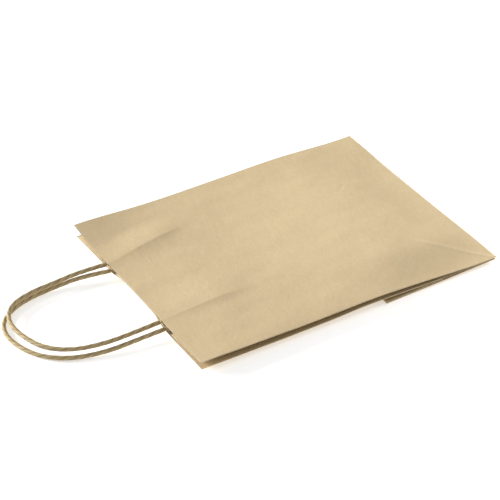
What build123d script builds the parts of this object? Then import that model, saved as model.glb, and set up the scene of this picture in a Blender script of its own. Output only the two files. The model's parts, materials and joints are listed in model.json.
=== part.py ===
"""Kraft paper carrier bag with two twisted paper handles, lying folded flat, in millimetres.

The bag lies on its folded-under bottom block, front panel up and mouth towards -X. X runs from the
mouth to the bottom edge, Y across the width with the left side at -Y, and Z up. Every panel is a
separate sheet, hinged on crease lines that stand clear of the paper, so that the bag can be opened
to its full gusset depth.
"""
import math
import os

from build123d import *

# ---------------------------------------------------------------- driving dimensions

bag_width = 180.0
bag_height = 210.0
gusset_depth = 80.0

paper = 0.15                 # thickness of one sheet
fold_gap = 0.05              # sheet to crease line, on each side of a gusset crease
back_crease_gap = 0.2        # back panel's outer face to the crease line of the strip folded under it
end_gap = 0.1                # a panel's end to its crease line
diagonal_gap = 0.3           # a gusset's slanted end to the diagonal crease
triangle_inset = 0.3         # bottom triangle's hinge line, inside the side edge, so it passes the gusset
inner_gap = 5.0              # front to back panel, inner faces, as folded

strip_slope = 2.0            # degrees that the folded-under strip hangs below the back panel
block_slope = 1.5            # degrees that the bottom block rises towards the bottom edge

flap_depth = 50.0            # bottom flaps, which overlap across the gusset depth
infold_depth = 46.0
seam_width = 15.0
seam_centre = 30.0

patch_clearance = 3.0        # patch to the gussets' inner creases, on each side
patch_depth = 38.0
patch_inset = 1.0            # mouth edge to patch
leg_depth = 34.0             # length of cord glued inside the patch
cord_diameter = 3.0
leg_clearance = 0.05         # cord to the patch cover's channel
channel_foot = 1.2           # how far a channel spreads beyond the cord where it meets the liner
channel_crown = 0.75         # half width of a channel's top, as a share of the cord's radius
leg_stub = 0.3               # cord leg past the mouth edge
swing_clearance = 0.2        # loop's round end to the leg's end
floor_clearance = 0.05       # back loop to the table

# Patch edge to the centre of a cord leg, at the left and at the right.
front_leg_insets = (12.0, 5.0)
back_leg_insets = (5.5, 11.5)

# Routes of the free loops in plan, from the left leg to the right one, past the mouth edge.
# Each point is how far past the swing line it lies, how far across it lies from the left leg (0) to
# the right leg (1), and its height: 1 at the exit, 0 where the loop has come down to rest.
front_route = [
    (0.0, 0.0, 1.0), (17.0, -0.008, 0.74), (37.0, 0.0, 0.42), (56.0, 0.071, 0.14),
    (69.5, 0.234, 0.0), (75.5, 0.468, 0.0), (77.0, 0.714, 0.0), (69.5, 0.922, 0.0),
    (52.0, 1.006, 0.16), (34.0, 1.012, 0.46), (16.0, 1.03, 0.76), (0.0, 1.0, 1.0),
]
back_route = [
    (0.0, 0.0, 1.0), (17.0, 0.019, 0.5), (37.0, 0.032, 0.12), (58.0, 0.11, 0.0),
    (73.5, 0.279, 0.0), (82.0, 0.552, 0.0), (81.5, 0.812, 0.0), (71.5, 0.987, 0.0),
    (54.0, 1.084, 0.0), (34.0, 1.104, 0.05), (16.0, 1.091, 0.45), (0.0, 1.0, 1.0),
]

# ---------------------------------------------------------------- worked out

half_width = bag_width / 2
half_depth = gusset_depth / 2
cord_radius = cord_diameter / 2
swing_offset = leg_stub + swing_clearance + cord_radius
patch_half = half_width - half_depth - patch_clearance
mouth_x = -bag_height / 2
bottom_x = bag_height / 2
crease_x = bottom_x - half_depth
seam_half = seam_width / 2

front_leg_y = (-patch_half + front_leg_insets[0], patch_half - front_leg_insets[1])
back_leg_y = (-patch_half + back_leg_insets[0], patch_half - back_leg_insets[1])

# A panel's inner face to the line that its gusset turns about.
link_offset = paper + 2 * fold_gap
gusset_tilt = math.asin((inner_gap - 2 * link_offset) / gusset_depth)

# Crease line between the strip and the bottom block, in the strip's own frame.
strip_inner = back_crease_gap + paper
block_line = strip_inner + link_offset

strip_angle = math.radians(strip_slope)
block_angle = math.radians(block_slope)
block_outer = link_offset + 3 * paper

# The bottom block's outer face touches the table at its crease, which sets every height.
strip_fall = half_depth * math.sin(strip_angle) + block_line * math.cos(strip_angle)
back_inner_z = paper + back_crease_gap + strip_fall + block_outer * math.cos(block_angle)
back_link_z = back_inner_z + link_offset
front_inner_z = back_inner_z + inner_gap
front_link_z = front_inner_z - link_offset
crease_z = back_inner_z - paper - back_crease_gap

fold_reach = half_depth * math.cos(gusset_tilt)
fold_rise = half_depth * math.sin(gusset_tilt)

block_x = crease_x - half_depth * math.cos(strip_angle) + block_line * math.sin(strip_angle)
block_z = crease_z - strip_fall

front_leg_z = front_inner_z - paper - cord_radius
back_leg_z = back_inner_z + paper + cord_radius
back_rest_z = cord_radius + floor_clearance
front_rest_z = back_rest_z + cord_diameter + 0.3

# ---------------------------------------------------------------- planes of the folded sheets

back_plane = Plane(origin=(0, 0, back_inner_z), x_dir=(1, 0, 0), z_dir=(0, 0, 1))
front_plane = Plane(origin=(0, 0, front_inner_z), x_dir=(1, 0, 0), z_dir=(0, 0, 1))
# The strip lies upside down: local X runs from the crease towards the mouth, local Z faces down.
strip_plane = Plane(
    origin=(crease_x, 0, crease_z),
    x_dir=(-math.cos(strip_angle), 0, -math.sin(strip_angle)),
    z_dir=(math.sin(strip_angle), 0, -math.cos(strip_angle)),
)
block_plane = Plane(
    origin=(block_x, 0, block_z),
    x_dir=(math.cos(block_angle), 0, math.sin(block_angle)),
    z_dir=(-math.sin(block_angle), 0, math.cos(block_angle)),
)


def gusset_plane(side, front):
    """Plane through a gusset half's crease lines, with local Y running inwards along the tilt."""
    sign = 1 if side == "right" else -1
    rise = -1 if front else 1
    height = front_link_z if front else back_link_z
    inward = Vector(0, -sign * math.cos(gusset_tilt), rise * math.sin(gusset_tilt))
    normal = Vector(1, 0, 0).cross(inward)
    return Plane(origin=(0, sign * half_width, height), x_dir=(1, 0, 0), z_dir=tuple(normal))


def sheet(label, plane, outline, low, high):
    """A flat sheet of paper: an outline in the plane, from local height low to high."""
    with BuildPart() as piece:
        with BuildSketch(plane.offset(low)):
            with BuildLine():
                Polyline(*outline, close=True)
            make_face()
        extrude(amount=high - low)
    piece.part.label = label
    return piece.part


def rectangle(x_low, x_high, y_low, y_high):
    """Corners of a rectangle, for use as an outline."""
    return [(x_low, y_low), (x_high, y_low), (x_high, y_high), (x_low, y_high)]


pieces = []

# ---------------------------------------------------------------- panels

pieces.append(sheet(
    "front_panel", front_plane,
    rectangle(mouth_x, bottom_x, -half_width, half_width), 0, paper))
pieces.append(sheet(
    "back_panel", back_plane,
    rectangle(mouth_x, crease_x - end_gap, -half_width, half_width), -paper, 0))
pieces.append(sheet(
    "back_panel_lower", strip_plane,
    rectangle(end_gap, half_depth - end_gap, -half_width, half_width), back_crease_gap, strip_inner))

# The glued lap that closes the tube, inside the back panel and inside its folded strip.
seam_low = seam_centre - seam_half
seam_high = seam_centre + seam_half
pieces.append(sheet(
    "seam_lap", back_plane,
    rectangle(mouth_x + patch_inset + patch_depth + end_gap, crease_x - end_gap, seam_low, seam_high),
    0, paper))
pieces.append(sheet(
    "seam_lap_lower", strip_plane,
    rectangle(end_gap, half_depth - end_gap, -seam_high, -seam_low),
    strip_inner, strip_inner + paper))

# ---------------------------------------------------------------- gussets


def gusset_half(side, front):
    """One half of a gusset: a long sheet whose end is cut along the diagonal crease."""
    sign = 1 if side == "right" else -1
    plane = gusset_plane(side, front)
    across = 1 if plane.y_dir.Y * -sign > 0 else -1
    slant = diagonal_gap * math.sqrt(2)
    outline = [
        (mouth_x, across * end_gap),
        (bottom_x - slant - end_gap, across * end_gap),
        (crease_x - slant + end_gap, across * (half_depth - end_gap)),
        (mouth_x, across * (half_depth - end_gap)),
    ]
    towards_panel = 1 if (plane.z_dir.Z > 0) == front else -1
    low, high = sorted((towards_panel * fold_gap, towards_panel * (fold_gap + paper)))
    name = f"{side}_gusset_{'front' if front else 'back'}"
    return sheet(name, plane, outline, low, high)


for side in ("left", "right"):
    pieces.append(gusset_half(side, front=False))
    pieces.append(gusset_half(side, front=True))

# ---------------------------------------------------------------- bottom block


def bottom_triangle(side):
    """Triangle between the bottom block and the gusset, lying on the block as folded."""
    sign = 1 if side == "right" else -1
    slant = diagonal_gap * math.sqrt(2)
    edge = sign * (half_width - triangle_inset - end_gap)
    outline = [
        (slant + end_gap, edge),
        (gusset_depth - slant - end_gap, edge),
        (half_depth, sign * (half_width - half_depth + slant)),
    ]
    return sheet(f"{side}_bottom_triangle", block_plane, outline, -fold_gap - paper, -fold_gap)


def bottom_infold(side):
    """Side ear of the tube's end, folded in first and reaching under both flaps."""
    sign = 1 if side == "right" else -1
    edge = sign * half_width
    outline = rectangle(end_gap, gusset_depth - end_gap, edge - sign * infold_depth, edge)
    return sheet(f"bottom_infold_{side}", block_plane, outline, -link_offset - paper, -link_offset)


def bottom_flap(label, crease, free, layer):
    """Flap across the bottom, from its crease to its free edge, with 45 degree ends."""
    reach = abs(free - crease)
    outline = [
        (crease, -half_width),
        (crease, half_width),
        (free, half_width - reach),
        (free, -half_width + reach),
    ]
    top = -link_offset - layer * paper
    return sheet(label, block_plane, outline, top - paper, top)


for side in ("left", "right"):
    pieces.append(bottom_triangle(side))
    pieces.append(bottom_infold(side))
pieces.append(bottom_flap(
    "bottom_inner_flap", gusset_depth - end_gap, gusset_depth - end_gap - flap_depth, 1))
pieces.append(bottom_flap("bottom_outer_flap", end_gap, end_gap + flap_depth, 2))

# ---------------------------------------------------------------- handle patches and cord legs


def patch_liner(label, plane, side):
    """Strip of paper glued inside a panel, under the cord legs."""
    start = mouth_x + patch_inset
    outline = rectangle(start, start + patch_depth, -patch_half, patch_half)
    low, high = sorted((0, side * paper))
    return sheet(label, plane, outline, low, high)


def patch_cover(label, inner_z, side, leg_y):
    """Strip of paper over the cord legs, raised into a channel along each leg."""
    start = mouth_x + patch_inset
    foot = cord_radius + channel_foot
    crown = cord_radius * channel_crown
    rise = cord_diameter + leg_clearance
    with BuildPart() as piece:
        with BuildSketch(Plane(origin=(start, 0, inner_z), x_dir=(0, 1, 0), z_dir=(1, 0, 0))):
            with Locations((0, side * 1.5 * paper)):
                Rectangle(2 * patch_half, paper)
            for shell, mode in ((paper, Mode.ADD), (0, Mode.SUBTRACT)):
                for y in leg_y:
                    base = side * paper
                    top = side * (paper + rise + shell)
                    with BuildLine():
                        Polyline(
                            (y - foot - shell, base), (y - crown - shell, top),
                            (y + crown + shell, top), (y + foot + shell, base), close=True)
                    make_face(mode=mode)
        extrude(amount=patch_depth)
    piece.part.label = label
    return piece.part


def cord_legs(label, leg_z, leg_y):
    """The two glued ends of a handle's cord, one solid each."""
    with BuildPart() as piece:
        with BuildSketch(Plane(origin=(mouth_x - leg_stub, 0, leg_z), x_dir=(0, 1, 0), z_dir=(1, 0, 0))):
            with Locations(*[(y, 0) for y in leg_y]):
                Circle(cord_radius)
        extrude(amount=leg_stub + patch_inset + leg_depth)
    piece.part.label = label
    return piece.part


pieces.append(patch_liner("front_patch_liner", front_plane, -1))
pieces.append(patch_liner("back_patch_liner", back_plane, 1))
pieces.append(patch_cover("front_patch_cover", front_inner_z, -1, front_leg_y))
pieces.append(patch_cover("back_patch_cover", back_inner_z, 1, back_leg_y))
pieces.append(cord_legs("front_cord_legs", front_leg_z, front_leg_y))
pieces.append(cord_legs("back_cord_legs", back_leg_z, back_leg_y))

# ---------------------------------------------------------------- handle loops


def corner_radii(points):
    """Radius at each inner point: 0.45 of the shorter run, over the tangent of half the turn."""
    radii = []
    for before, here, after in zip(points, points[1:], points[2:]):
        into = here - before
        out_of = after - here
        half_turn = math.radians(into.get_angle(out_of)) / 2
        radii.append(0.45 * min(into.length, out_of.length) / math.tan(half_turn))
    return radii


def handle_cord(label, route, leg_y, exit_z, rest_z):
    """The free loop of a handle: straight runs joined by tangent arcs, round-ended on its swing line."""
    left, right = leg_y
    points = [
        Vector(
            mouth_x - swing_offset - past,
            left + across * (right - left),
            rest_z + level * (exit_z - rest_z))
        for past, across, level in route
    ]
    radii = corner_radii(points)
    with BuildPart() as piece:
        with BuildLine() as path:
            FilletPolyline(*points, radius=radii)
        run = path.wires()[0]
        with BuildSketch(Plane(origin=run @ 0, z_dir=run % 0)):
            Circle(cord_radius)
        sweep(transition=Transition.ROUND)
        tube = piece.part.volume
        with Locations(points[0], points[-1]):
            Sphere(cord_radius)
    piece.part.label = label
    section = math.pi * cord_radius ** 2
    print(f"{label}: length {run.length:.1f}, radii {[round(r) for r in radii]}, "
          f"volume over section times length {tube / (section * run.length):.4f}")
    return piece.part


pieces.append(handle_cord("front_handle_cord", front_route, front_leg_y, front_leg_z, front_rest_z))
pieces.append(handle_cord("back_handle_cord", back_route, back_leg_y, back_leg_z, back_rest_z))

# ---------------------------------------------------------------- written out

os.makedirs("parts", exist_ok=True)
for piece in pieces:
    export_step(piece, f"parts/{piece.label}.step")

print(f"crease line {crease_x:.4f} {crease_z:.4f}, block line {block_x:.4f} {block_z:.4f}")
print(f"gusset lines {back_link_z:.4f} {front_link_z:.4f}, fold {fold_reach:.4f} {fold_rise:.4f}")
print(f"swing lines {mouth_x - swing_offset:.4f} at {front_leg_z:.4f} and {back_leg_z:.4f}")
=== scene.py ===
"""Kraft paper carrier bag with two twisted paper handles, lying folded flat on a pale table.

Sizes inside the functions are millimetres, in the shared frame: X from the mouth to the bottom edge,
Y across the bag with the left side at -Y, Z up. They become metres when a mesh is made.
"""
import json
import math

import bpy
import numpy as np
from mathutils import Matrix, Vector


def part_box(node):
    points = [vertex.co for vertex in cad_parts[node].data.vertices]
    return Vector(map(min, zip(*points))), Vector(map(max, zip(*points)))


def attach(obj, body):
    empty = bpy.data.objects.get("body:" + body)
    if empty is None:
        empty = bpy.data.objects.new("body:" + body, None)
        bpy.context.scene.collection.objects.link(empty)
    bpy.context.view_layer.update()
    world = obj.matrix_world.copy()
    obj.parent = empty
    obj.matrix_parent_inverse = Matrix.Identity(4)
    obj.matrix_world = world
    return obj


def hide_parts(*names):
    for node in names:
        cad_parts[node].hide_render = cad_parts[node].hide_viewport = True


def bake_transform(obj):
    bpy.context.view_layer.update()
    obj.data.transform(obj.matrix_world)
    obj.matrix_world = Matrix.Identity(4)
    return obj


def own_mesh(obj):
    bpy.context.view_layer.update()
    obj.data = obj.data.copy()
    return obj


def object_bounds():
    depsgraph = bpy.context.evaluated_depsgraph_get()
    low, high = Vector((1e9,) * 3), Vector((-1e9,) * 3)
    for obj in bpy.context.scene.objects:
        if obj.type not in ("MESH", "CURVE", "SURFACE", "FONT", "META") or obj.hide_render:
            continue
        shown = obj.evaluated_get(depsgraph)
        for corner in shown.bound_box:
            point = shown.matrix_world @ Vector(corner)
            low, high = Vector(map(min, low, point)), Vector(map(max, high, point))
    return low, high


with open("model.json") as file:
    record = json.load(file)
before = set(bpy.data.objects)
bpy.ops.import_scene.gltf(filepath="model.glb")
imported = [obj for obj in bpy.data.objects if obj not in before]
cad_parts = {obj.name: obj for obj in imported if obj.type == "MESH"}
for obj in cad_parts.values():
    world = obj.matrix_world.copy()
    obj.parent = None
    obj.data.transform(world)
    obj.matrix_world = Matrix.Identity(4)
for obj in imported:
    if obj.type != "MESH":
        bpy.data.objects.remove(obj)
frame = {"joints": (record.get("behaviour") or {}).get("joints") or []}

bl_info = {
    "name": "Folded Kraft Carrier Bag",
    "version": (1, 0, 0),
    "blender": (4, 5, 0),
    "location": "View3D > Sidebar > Carrier Bag",
    "description": "Builds a folded paper carrier bag with twisted paper handles",
    "category": "Add Mesh",
}

CAD_BOX = [list(corner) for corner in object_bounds()]

# ---------------------------------------------------------------- sizes read from the frame


def cad_box(node):
    """Lowest and highest corner of a CAD node, in millimetres."""
    low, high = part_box(node)
    return np.array(low) * 1000, np.array(high) * 1000


JOINT_AT = {joint["name"]: np.array(joint["pos_m"]) * 1000 for joint in frame["joints"]}
JOINT_AXIS = {joint["name"]: np.array(joint["axis"]) for joint in frame["joints"]}

FRONT_LOW, FRONT_HIGH = cad_box("front_panel")
BACK_LOW, BACK_HIGH = cad_box("back_panel")
PAPER = FRONT_HIGH[2] - FRONT_LOW[2]
MOUTH_X, BOTTOM_X = FRONT_LOW[0], FRONT_HIGH[0]
HALF_WIDTH = FRONT_HIGH[1]
FRONT_OUTER, FRONT_INNER = FRONT_HIGH[2], FRONT_LOW[2]
BACK_INNER = BACK_HIGH[2]

CREASE = JOINT_AT["back_strip_unfold"]
BLOCK = JOINT_AT["bottom_block_turn"]
BACK_LINK_Z = JOINT_AT["bag_open"][2]
FRONT_LINK_Z = JOINT_AT["front_panel_lift"][2]
MID_FOLD = JOINT_AT["right_gusset_fold"]
LINK_GAP = BACK_LINK_Z - BACK_INNER
FOLD_GAP = (LINK_GAP - PAPER) / 2
HALF_DEPTH = BOTTOM_X - CREASE[0]
END_GAP = CREASE[0] - BACK_HIGH[0]
GUSSET_TILT = math.atan2(MID_FOLD[2] - BACK_LINK_Z, HALF_WIDTH - MID_FOLD[1])

# The block line stands this far below the strip's crease line, and the strip hangs by this angle.
CREASE_TO_BLOCK = CREASE - BLOCK
BLOCK_DROP = math.sqrt(CREASE_TO_BLOCK[0] ** 2 + CREASE_TO_BLOCK[2] ** 2 - HALF_DEPTH ** 2)
STRIP_ANGLE = math.atan2(CREASE_TO_BLOCK[2], CREASE_TO_BLOCK[0]) - math.atan2(BLOCK_DROP, HALF_DEPTH)
BLOCK_ANGLE = math.asin(JOINT_AXIS["left_triangle_raise"][2])
BACK_CREASE_GAP = BACK_LOW[2] - CREASE[2]

SWING_X = JOINT_AT["front_handle_swing"][0]
FRONT_LEGS = cad_box("front_cord_legs")
BACK_LEGS = cad_box("back_cord_legs")
CORD_RADIUS = (FRONT_LEGS[1][2] - FRONT_LEGS[0][2]) / 2
FRONT_LEG_Y = (FRONT_LEGS[0][1] + CORD_RADIUS, FRONT_LEGS[1][1] - CORD_RADIUS)
BACK_LEG_Y = (BACK_LEGS[0][1] + CORD_RADIUS, BACK_LEGS[1][1] - CORD_RADIUS)
LEG_OUT = FRONT_LEGS[0][0]
LEG_IN = FRONT_LEGS[1][0]
PATCH_LOW, PATCH_HIGH = cad_box("front_patch_liner")

# Free loops in plan, as (past the swing line, across from the left leg to the right one, level of
# height from lying down to the exit). Their ends start at the ends of the glued legs.
FRONT_ROUTE = [
    (-1.7, 0.0, 1.0), (17.0, -0.008, 0.74), (37.0, 0.0, 0.42), (56.0, 0.071, 0.14),
    (69.5, 0.234, 0.0), (75.5, 0.468, 0.0), (77.0, 0.714, 0.0), (69.5, 0.922, 0.0),
    (52.0, 1.006, 0.16), (34.0, 1.012, 0.46), (16.0, 1.03, 0.76), (-1.7, 1.0, 1.0),
]
BACK_ROUTE = [
    (-1.7, 0.0, 1.0), (17.0, 0.019, 0.5), (37.0, 0.032, 0.12), (58.0, 0.11, 0.0),
    (73.5, 0.279, 0.0), (82.0, 0.552, 0.0), (81.5, 0.812, 0.0), (71.5, 0.987, 0.0),
    (54.0, 1.084, 0.0), (34.0, 1.104, 0.05), (16.0, 1.091, 0.45), (-1.7, 1.0, 1.0),
]
# Heights of the loops where they lie outside the mouth, the front one above the back one.
BACK_REST_Z = CORD_RADIUS + 0.05
FRONT_REST_Z = BACK_REST_Z + 2 * CORD_RADIUS + 0.3

# Height of each panel along its mouth edge, over its flat place, from the left side to the right.
FRONT_MOUTH_Y = (-90, -80, -70, -60, -50, -43, -36, -15, 0, 20, 35, 45, 55, 65, 79, 90)
FRONT_MOUTH_LIFT = (
    0.6, 0.35, 0.15, -0.05, -0.25, -0.45, -0.6, -0.6, -0.6, -0.8, -0.9, -0.85, -0.5, 0.1, 1.5, 2.7)
BACK_MOUTH_Y = (-90, -70, -55, -48, -41.5, -36, -29, -20, 0, 18, 25, 30, 35.5, 42, 55, 72, 90)
BACK_MOUTH_LIFT = (0.3, 0.1, 0.0, 0.0, 0.0, 0.7, 1.9, 2.6, 2.8, 2.5, 1.9, 1.0, 0.0, -0.1, -0.5, -1.3, -2.3)

# The front panel's long bow between its mouth and its bottom edge: places along it and their height.
BOW_X = (-105, -85, -68, -50, -25, 12, 50, 74, 92, 105)
BOW_LIFT = (0.0, 0.0, -0.1, -0.7, -1.3, -0.1, 1.1, 0.8, 0.2, 0.0)
# Two small dents in the front panel: start, end and depth.
DENTS = (((56.0, 52.0), (68.0, 41.0), 0.16), ((66.0, 34.0), (58.0, 25.0), 0.12))
DENT_WIDTH = 0.9
# Radius of the front panel's fold at its bottom edge, and how far the paper runs on past the turn.
BOTTOM_EDGE_RADIUS = 0.45
TURNED_LIP = 0.1
# How much of its waves a panel keeps when the bag is open.
FLATTENED = 0.1
# How far the bottom's flaps reach in from its long edges, and the ears from its sides.
FLAP_DEPTH = 50.0
EAR_REACH = 46.0
# How far the outer flap's roll stands out, and how much shorter than its space the inner flap is cut.
ROLL_BULGE = 0.5
INNER_FLAP_SHORT = 0.5

# The camera: where it stands round the bag, in degrees, what it looks at and how far off, in metres.
CAMERA_ANGLES = (-25.641, 33.633, -5.030)
CAMERA_TARGET = (-0.017096, 0.011840, 0.0)
CAMERA_DISTANCE = 1.48435
SENSOR_WIDTH = 36.0
FRAME_WIDTH = 500.0
FOCAL_LENGTH = 2291.86       # in the same unit as the frame's width
# The lights: the way to the low one, its softness in degrees, and the side one's place and aim.
LOW_LIGHT_FROM = (-0.56, 0.82, 0.265)
LOW_LIGHT_ANGLE = 24.0
SIDE_LIGHT_PLACE = (0.38, -0.10, 0.25)
SIDE_LIGHT_AIM = (0.06, -0.03, 0.0)
SIDE_LIGHT_SIZE = 0.2
LIGHT_TINT = (1.0, 0.99, 0.97)
TABLE_REACH = 4.0


# ---------------------------------------------------------------- what a user would change


class BagSizes(bpy.types.PropertyGroup):
    """Sizes of the folds, ripples and cords."""

    fold_radius: bpy.props.FloatProperty(
        name="Fold radius", description="Outer radius of a pressed fold, in metres",
        default=0.00035, min=0.0001, max=0.002, unit="LENGTH")
    droop: bpy.props.FloatProperty(
        name="Bottom droop", description="How far the front panel sinks at its bottom edge",
        default=0.0041, min=0.0, max=0.005, unit="LENGTH")
    dome: bpy.props.FloatProperty(
        name="Front dome", description="How far the front panel stands up over the gussets inside it",
        default=0.0019, min=0.0, max=0.004, unit="LENGTH")
    mouth_reach: bpy.props.FloatProperty(
        name="Mouth reach", description="How far in the mouth's waves carry",
        default=0.058, min=0.01, max=0.15, unit="LENGTH")
    ridge: bpy.props.FloatProperty(
        name="Leg ridge", description="Height that a glued cord leg raises in its panel",
        default=0.0007, min=0.0, max=0.003, unit="LENGTH")
    ripple: bpy.props.FloatProperty(
        name="Ripple", description="Height of the paper's ripples, as a share of their length",
        default=0.0005, min=0.0, max=0.01, subtype="FACTOR")
    serration: bpy.props.FloatProperty(
        name="Serration", description="Depth of the teeth along a knife-cut mouth edge",
        default=0.00032, min=0.0, max=0.001, unit="LENGTH")
    cord_pitch: bpy.props.FloatProperty(
        name="Cord pitch", description="Length of one full turn of a cord's twist",
        default=0.021, min=0.004, max=0.05, unit="LENGTH")
    groove: bpy.props.FloatProperty(
        name="Cord groove", description="Depth of a cord's grooves, as a share of its radius",
        default=0.17, min=0.0, max=0.5, subtype="FACTOR")


class BagFinishes(bpy.types.PropertyGroup):
    """Colours of the papers and strengths of the studio lights."""

    kraft: bpy.props.FloatVectorProperty(
        name="Kraft", description="Main colour of the bag's paper",
        default=(0.595, 0.474, 0.293), min=0.0, max=1.0, subtype="COLOR")
    kraft_shade: bpy.props.FloatVectorProperty(
        name="Kraft shade", description="Darker fibres and clouds in the bag's paper",
        default=(0.525, 0.408, 0.242), min=0.0, max=1.0, subtype="COLOR")
    # Pale paint on folds and cut edges: partly rubbed paper, partly a painted highlight where the edges catch
    # the light.
    worn_and_highlight: bpy.props.FloatVectorProperty(
        name="Worn paper and highlight", description="Paper rubbed pale, and a painted highlight, along folds and cut edges",
        default=(0.78, 0.66, 0.47), min=0.0, max=1.0, subtype="COLOR")
    fleck: bpy.props.FloatVectorProperty(
        name="Fleck", description="Dark specks in the paper",
        default=(0.30, 0.21, 0.11), min=0.0, max=1.0, subtype="COLOR")
    cord: bpy.props.FloatVectorProperty(
        name="Cord", description="Raised strands of a twisted paper cord",
        default=(0.500, 0.395, 0.220), min=0.0, max=1.0, subtype="COLOR")
    # Painted shade for the grooves between the strands, also used for the strands' darker streaks.
    cord_groove_shade_and_streak: bpy.props.FloatVectorProperty(
        name="Cord shade", description="Painted shade in the grooves between a cord's strands, and darker streaks",
        default=(0.270, 0.200, 0.100), min=0.0, max=1.0, subtype="COLOR")
    table: bpy.props.FloatVectorProperty(
        name="Table", description="Colour of the table",
        default=(0.93, 0.93, 0.93), min=0.0, max=1.0, subtype="COLOR")
    sun_strength: bpy.props.FloatProperty(
        name="Low light", description="Strength of the low soft light from behind the mouth",
        default=6.8, min=0.0, max=50.0)
    side_power: bpy.props.FloatProperty(
        name="Side light", description="Power of the small soft light beyond the bottom edge, in watts",
        default=0.7, min=0.0, max=20.0, subtype="POWER")
    sky_strength: bpy.props.FloatProperty(
        name="Room light", description="Strength of the even light from all round",
        default=0.49, min=0.0, max=5.0)


# ---------------------------------------------------------------- shape functions


def smooth(share):
    """Zero below 0, one above 1, and 3t^2 - 2t^3 between, so that it starts and ends level."""
    t = np.clip(share, 0.0, 1.0)
    return t * t * (3 - 2 * t)


def curve_through(places, values, where):
    """A smooth curve through points: a cubic on each span, whose slopes are those of its neighbours."""
    places, values = np.asarray(places, float), np.asarray(values, float)
    slopes = np.gradient(values, places)
    span = np.clip(np.searchsorted(places, where, side="right") - 1, 0, len(places) - 2)
    width = places[span + 1] - places[span]
    t = np.clip((where - places[span]) / width, 0.0, 1.0)
    return (
        (2 * t ** 3 - 3 * t ** 2 + 1) * values[span] + (t ** 3 - 2 * t ** 2 + t) * width * slopes[span]
        + (3 * t ** 2 - 2 * t ** 3) * values[span + 1] + (t ** 3 - t ** 2) * width * slopes[span + 1]
    )


def ripples(x, y, share, seed, shortest=13.0, longest=48.0, count=16):
    """The paper's cockling: a sum of sine waves of seeded length, direction and phase, each as high as
    its length times share."""
    draw = np.random.default_rng(seed)
    total = np.zeros(np.broadcast(x, y).shape)
    for length, angle, phase in zip(
            draw.uniform(shortest, longest, count), draw.uniform(0, np.pi, count),
            draw.uniform(0, 2 * np.pi, count)):
        total += share * length * np.sin(
            2 * np.pi * (x * np.cos(angle) + y * np.sin(angle)) / length + phase)
    return total


def leg_ridge(x, y, at_mouth, at_end, height, steep, gentle):
    """A sawtooth over a glued leg: it falls by exp(-distance / steep) to the left of its line and gently
    to the right, rises from the mouth edge inwards, and dies out past the leg's end."""
    inward = x - MOUTH_X
    line = at_mouth + (at_end - at_mouth) * inward / 48.0
    across = y - line
    slope = np.where(across < 0, np.exp(-np.abs(across) / steep), 1 - smooth(across / gentle))
    rise = 0.45 + 0.55 * smooth(inward / 26.0)
    return height * slope * rise * (1 - smooth((inward - 38.0) / 28.0))


def raised_line(x, y, start, end, height, width):
    """A crease showing through: a rounded ridge, exp(-(distance / width)^2), along a line in plan,
    dying out towards its end."""
    start, end = np.array(start), np.array(end)
    run = end - start
    length = math.hypot(*run)
    along = ((x - start[0]) * run[0] + (y - start[1]) * run[1]) / length ** 2
    across = ((y - start[1]) * run[0] - (x - start[0]) * run[1]) / length
    fade = smooth(along / 0.04 + 1) * (1 - smooth((along - 0.55) / 0.45))
    return height * np.exp(-(across / width) ** 2) * fade


# Where the near gusset's diagonal crease shows through the front panel, from the corner inwards; the panel is
# also painted pale along it as a highlight.
DIAGONAL = ((104.6, -89.6), (62.0, -42.0))


def front_sink(x, y, deepest):
    """The front panel's sink towards its bottom edge: along the near side one long slope, and elsewhere
    a steeper one whose middle runs slantwise from the near bottom corner; it is less deep at the far
    side."""
    near = 1 - 0.75 * smooth((y + HALF_WIDTH) / 38.0)
    middle, half = 87.0 - 0.2 * y, 20.5 + 0.11 * y
    slope = near * smooth((x - 8.0) / 90.0) + (1 - near) * smooth((x - middle + half) / (2 * half))
    return slope * (deepest - 1.6 * smooth((y - 30.0) / 60.0))


def front_lift(x, y, sizes):
    """Height of the front panel over its flat place: the mouth's waves, fading inwards, the ridges over
    the cord legs, a low dome that falls fastest at the near side, the long bow, weaker at both sides,
    the sink towards the bottom edge, the gusset's diagonal showing through, two small dents and the
    paper's ripples."""
    inward = x - MOUTH_X
    near_mouth = 1 - smooth(inward / (sizes.mouth_reach * 1000))
    ridge = sizes.ridge * 1000
    lift = curve_through(FRONT_MOUTH_Y, FRONT_MOUTH_LIFT, y) * near_mouth
    lift = lift + leg_ridge(x, y, -36.5, -35.5, 1.5 * ridge, 7.0, 34.0)
    lift = lift + leg_ridge(x, y, 39.0, 49.0, 1.9 * ridge, 8.0, 24.0)
    falling = np.clip(-(y + 35.0) / 55.0, 0.0, 1.0) ** 2 + smooth((y + 35.0) / 125.0)
    ends = smooth((inward - 6.0) / 90.0) * (1 - smooth((x - 40.0) / 55.0))
    lift = lift + sizes.dome * 1000 * (1 - falling) * ends
    across = (0.3 + 0.7 * smooth((y + 90.0) / 40.0)) * (1 - 0.8 * smooth((y - 15.0) / 60.0))
    lift = lift + curve_through(BOW_X, BOW_LIFT, x) * across
    lift = lift - front_sink(x, y, sizes.droop * 1000)
    lift = lift + raised_line(x, y, *DIAGONAL, 0.42, 1.15)
    for start, end, depth in DENTS:
        lift = lift - raised_line(x, y, start, end, depth, DENT_WIDTH)
    return lift + ripples(x, y, sizes.ripple, 11)


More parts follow.
